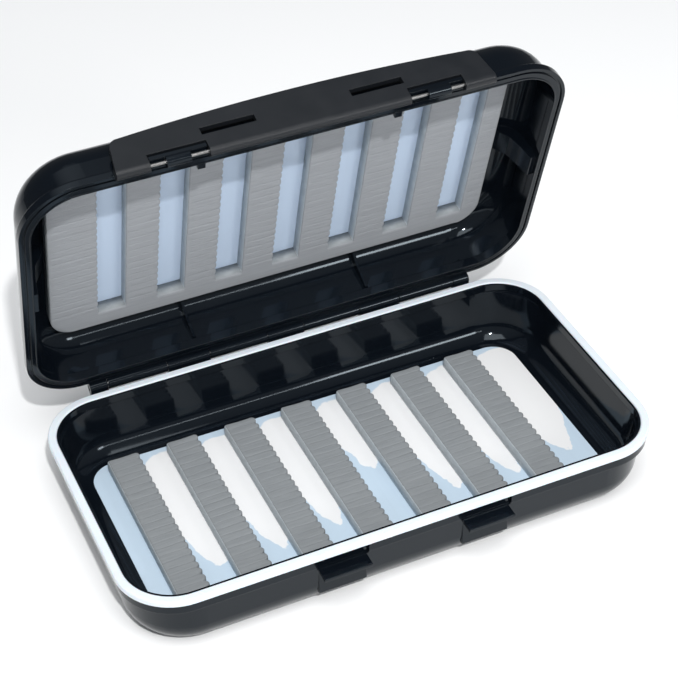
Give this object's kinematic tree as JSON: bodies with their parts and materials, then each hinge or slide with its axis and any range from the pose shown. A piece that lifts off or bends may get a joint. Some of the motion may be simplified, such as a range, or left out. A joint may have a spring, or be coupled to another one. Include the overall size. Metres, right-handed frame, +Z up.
{
  "type": "two-sided waterproof fly box",
  "caption": "Hinged pocket case for fishing flies, with slit foam in base and lid, a rubber seal round the rim and a fold-over latch flap.",
  "frame": {"origin": "middle of the flat face under the base, on the resting surface", "axes": "+X along the length of the box, +Y from the latch side to the hinge side, +Z up"},
  "size_m": [0.19, 0.1282, 0.1362],
  "materials": {
    "case_plastic": "polished moulded black plastic",
    "flap_plastic": "satin moulded black plastic",
    "seal_rubber": "smooth white rubber",
    "foam": "closed-cell foam, matt grey",
    "backing_plastic": "smooth pale blue plastic sheet",
    "adhesive": "clear double-sided adhesive film",
    "pin_steel": "bright drawn wire"
  },
  "bodies": {
    "base": {"base_shell": "case_plastic", "base_gasket": "seal_rubber", "base_adhesive_film": "adhesive", "base_backing_sheet": "backing_plastic", "base_foam_strip_1": "foam", "base_foam_strip_2": "foam", "base_foam_strip_3": "foam", "base_foam_strip_4": "foam", "base_foam_strip_5": "foam", "base_foam_strip_6": "foam", "base_foam_strip_7": "foam", "hinge_pin_left": "pin_steel", "hinge_pin_right": "pin_steel"},
    "lid": {"lid_shell": "case_plastic", "lid_adhesive_film": "adhesive", "lid_backing_sheet": "backing_plastic", "lid_foam_pad": "foam", "latch_pin_left": "pin_steel", "latch_pin_right": "pin_steel"},
    "flap": {"latch_flap": "flap_plastic"}
  },
  "joints": [
    {"name": "lid_hinge", "type": "hinge", "parent": "base", "child": "lid", "pos_m": [0, 0.0555, 0.025], "axis": [-1, 0, 0], "range_deg": [-73.76, 106.24]},
    {"name": "latch_hinge", "type": "hinge", "parent": "lid", "child": "flap", "pos_m": [0, 0.02429, 0.13038], "axis": [1, 0, 0], "range_deg": [0, 180]}
  ]
}
